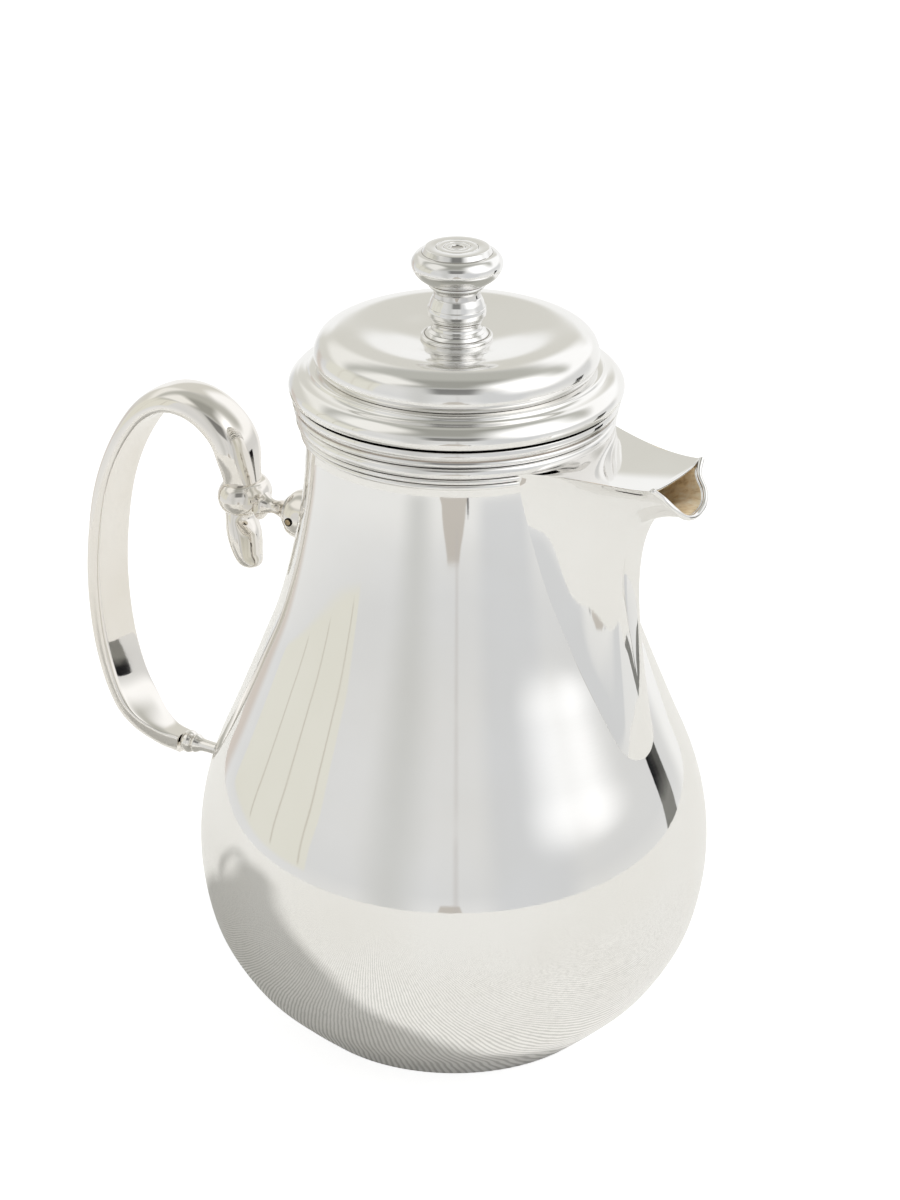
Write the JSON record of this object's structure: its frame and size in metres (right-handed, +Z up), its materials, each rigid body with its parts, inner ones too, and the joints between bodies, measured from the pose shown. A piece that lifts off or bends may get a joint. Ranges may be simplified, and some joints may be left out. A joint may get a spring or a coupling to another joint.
{
  "type": "coffee pot",
  "caption": "Polished silver coffee pot: pear-shaped body, covered beak spout, C-scroll strap handle and a lift-off cushion lid with a turned finial.",
  "frame": {"origin": "centre of the flat underside of the base plate, on the axis of the body", "axes": "+Z up along the axis of the body, +X towards the spout, -X towards the handle, +Y to the left of the spout"},
  "size_m": [0.1896, 0.136, 0.2174],
  "materials": {
    "body_silver": "mirror polished silver with fine hairline scratches",
    "collar_silver": "polished turned silver rings, darker in the grooves",
    "spout_silver": "polished silver outside, warm brushed and stained inside",
    "lid_silver": "polished silver with soft smudges",
    "finial_silver": "polished turned silver",
    "handle_silver": "polished cast silver, slightly worn",
    "pin_metal": "dark aged pin end",
    "fixing_metal": "plain turned brass, slightly dull"
  },
  "bodies": {
    "pot": {"body_shell": "body_silver", "base_plate": "body_silver", "collar_foot_wire": "collar_silver", "collar_bead_wire": "collar_silver", "collar_lower_ring": "collar_silver", "collar_mouth_ring": "collar_silver", "spout_shell": "spout_silver", "spout_lip_wire": "spout_silver", "handle_strap": "handle_silver", "handle_bead": "handle_silver", "handle_scroll_tip": "handle_silver", "upper_socket": "handle_silver", "handle_upper_stem": "handle_silver", "upper_cross_pin": "pin_metal", "handle_lower_knuckle": "handle_silver", "handle_lower_stem": "handle_silver", "lower_boss": "handle_silver"},
    "lid": {"lid_dome": "lid_silver", "lid_rim_moulding": "lid_silver", "lid_bezel": "lid_silver", "finial_flange": "finial_silver", "finial_knob": "finial_silver", "finial_stud": "fixing_metal", "finial_washer": "fixing_metal", "finial_nut": "fixing_metal"}
  },
  "joints": [
    {"name": "lid_lift", "type": "slide", "parent": "pot", "child": "lid", "axis": [0, 0, 1], "range_m": [0, 0.06]}
  ]
}
